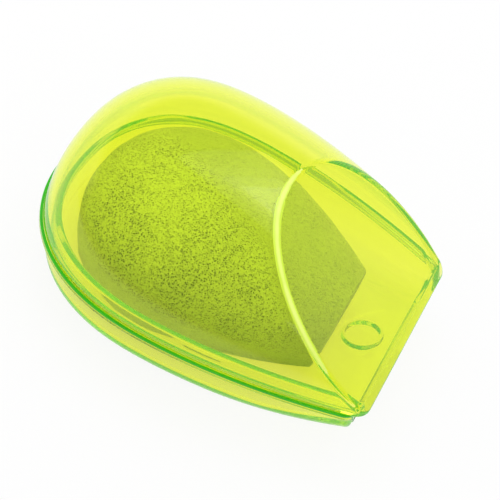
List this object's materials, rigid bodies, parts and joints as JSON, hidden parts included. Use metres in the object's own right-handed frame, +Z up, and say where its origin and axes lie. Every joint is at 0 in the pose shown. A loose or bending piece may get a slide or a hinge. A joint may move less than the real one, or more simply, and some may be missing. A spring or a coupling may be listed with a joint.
{
  "type": "sponge case",
  "caption": "Pocket sponge case: mouse-shaped clear plastic tray and lift-off domed lid with a flat sloping nose, holding a domed foam sponge.",
  "frame": {"origin": "middle of the case on the surface that it rests on", "axes": "+Z up, +X along the case towards its flat nose"},
  "size_m": [0.085, 0.07, 0.039],
  "materials": {
    "tray_plastic": "clear lime moulded plastic",
    "lid_plastic": "clear lime moulded plastic",
    "foam": "fine-celled open foam",
    "adhesive": "thin adhesive pad"
  },
  "bodies": {
    "tray": {"base_tray": "tray_plastic", "sponge": "foam", "adhesive_pad": "adhesive"},
    "lid": {"lid": "lid_plastic"}
  },
  "joints": [
    {"name": "lid_lift", "type": "slide", "parent": "tray", "child": "lid", "axis": [0, 0, 1], "range_m": [0, 0.06]}
  ]
}
